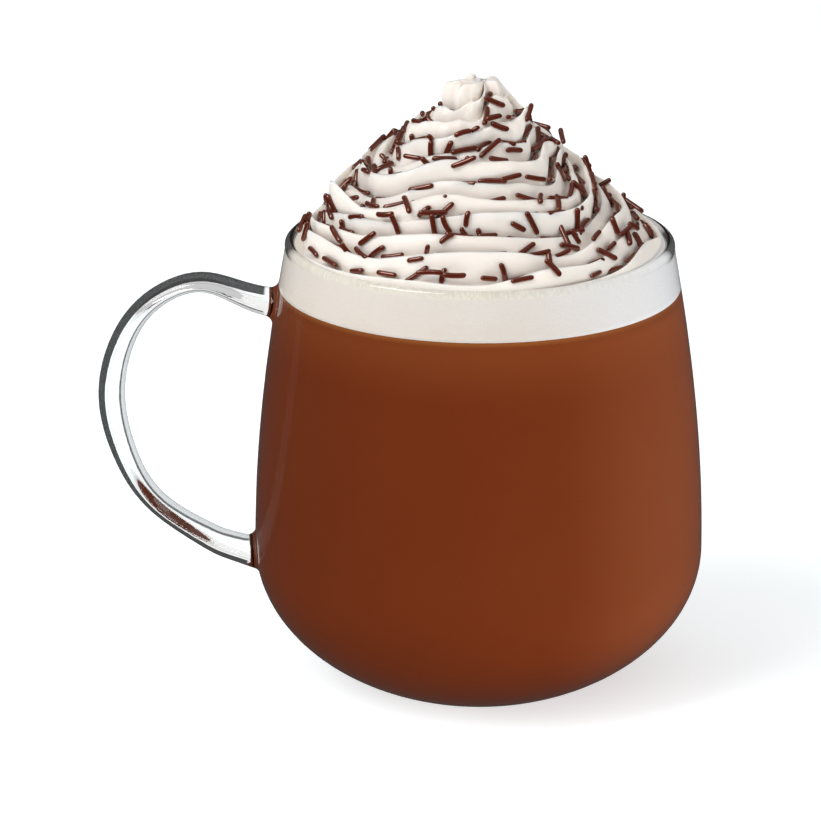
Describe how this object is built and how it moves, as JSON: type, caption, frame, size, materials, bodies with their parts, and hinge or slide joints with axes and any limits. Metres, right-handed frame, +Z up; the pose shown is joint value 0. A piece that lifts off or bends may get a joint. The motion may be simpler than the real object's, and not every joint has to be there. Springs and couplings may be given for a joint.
{
  "type": "chocolate latte in a glass mug",
  "caption": "Clear rounded glass mug with a side handle, filled with chocolate latte under milk foam and a tall piped swirl of whipped cream with chocolate sprinkles.",
  "frame": {"origin": "middle of the flat face that the mug stands on, on the axis of the bowl", "axes": "+Z up along the bowl's axis, -X from the axis through the handle, +Y away from the side shown in front"},
  "size_m": [0.1291, 0.096, 0.1324],
  "materials": {
    "glass": "clear, fire-polished",
    "latte": "milky chocolate brown drink, wet against the glass",
    "milk_foam": "fine-bubbled milk foam, off-white",
    "whipped_cream": "soft, slightly moist whipped cream",
    "chocolate": "glossy dark chocolate sprinkles"
  },
  "bodies": {
    "root": {"mug": "glass", "latte": "latte", "milk_foam": "milk_foam", "whipped_cream": "whipped_cream"}
  },
  "joints": []
}
